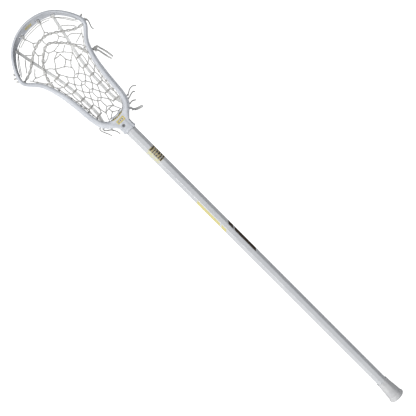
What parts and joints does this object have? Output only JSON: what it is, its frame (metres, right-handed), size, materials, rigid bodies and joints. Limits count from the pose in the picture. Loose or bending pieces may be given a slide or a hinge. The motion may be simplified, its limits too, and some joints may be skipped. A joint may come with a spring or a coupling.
{
  "type": "lacrosse stick",
  "caption": "Women's field lacrosse stick: hollow eight-sided shaft, moulded head with a laced pocket, throat screw and a flared rubber butt cap.",
  "frame": {"origin": "centre of the end cap's flat end face, on the shaft's axis", "axes": "+X along the shaft from the butt to the scoop, +Z out of the head's face, +Y to the left seen face on with the head up; the stick lies face up"},
  "size_m": [1.09, 0.1862, 0.0776],
  "materials": {
    "shaft_finish": "pearl white lacquer over alloy",
    "cap_rubber": "matt white rubber",
    "head_plastic": "satin moulded nylon",
    "pad_foam": "closed cell foam",
    "screw_steel": "blackened steel",
    "lace_cord": "braided nylon",
    "shooting_cord": "flat braided cord",
    "thong_webbing": "woven nylon thong"
  },
  "bodies": {
    "stick": {"shaft_tube": "shaft_finish", "head_frame": "head_plastic", "ball_stop": "pad_foam", "cross_lacing": "lace_cord", "left_thong": "thong_webbing", "right_thong": "thong_webbing", "outer_shooting_string": "shooting_cord", "inner_shooting_string": "shooting_cord", "top_string": "lace_cord", "left_sidewall_string": "lace_cord", "right_sidewall_string": "lace_cord", "throat_lacing": "lace_cord", "left_scoop_knot": "lace_cord", "right_scoop_knot": "lace_cord", "sidewall_knot": "shooting_cord", "throat_tail_right_1": "lace_cord", "throat_tail_right_2": "lace_cord", "throat_tail_right_3": "lace_cord", "thong_tail": "thong_webbing", "throat_tail_left_1": "lace_cord", "throat_tail_left_2": "lace_cord", "throat_tail_left_3": "lace_cord", "scoop_tail": "lace_cord", "shooting_tail_1": "shooting_cord", "shooting_tail_2": "shooting_cord"},
    "butt_cap": {"end_cap": "cap_rubber"},
    "throat_screw": {"head_screw": "screw_steel"}
  },
  "joints": [
    {"name": "cap_pull", "type": "slide", "parent": "stick", "child": "butt_cap", "axis": [-1, 0, 0], "range_m": [0, 0.032]},
    {"name": "screw_out", "type": "slide", "parent": "stick", "child": "throat_screw", "axis": [0, 0, 1], "range_m": [0, 0.011]}
  ]
}
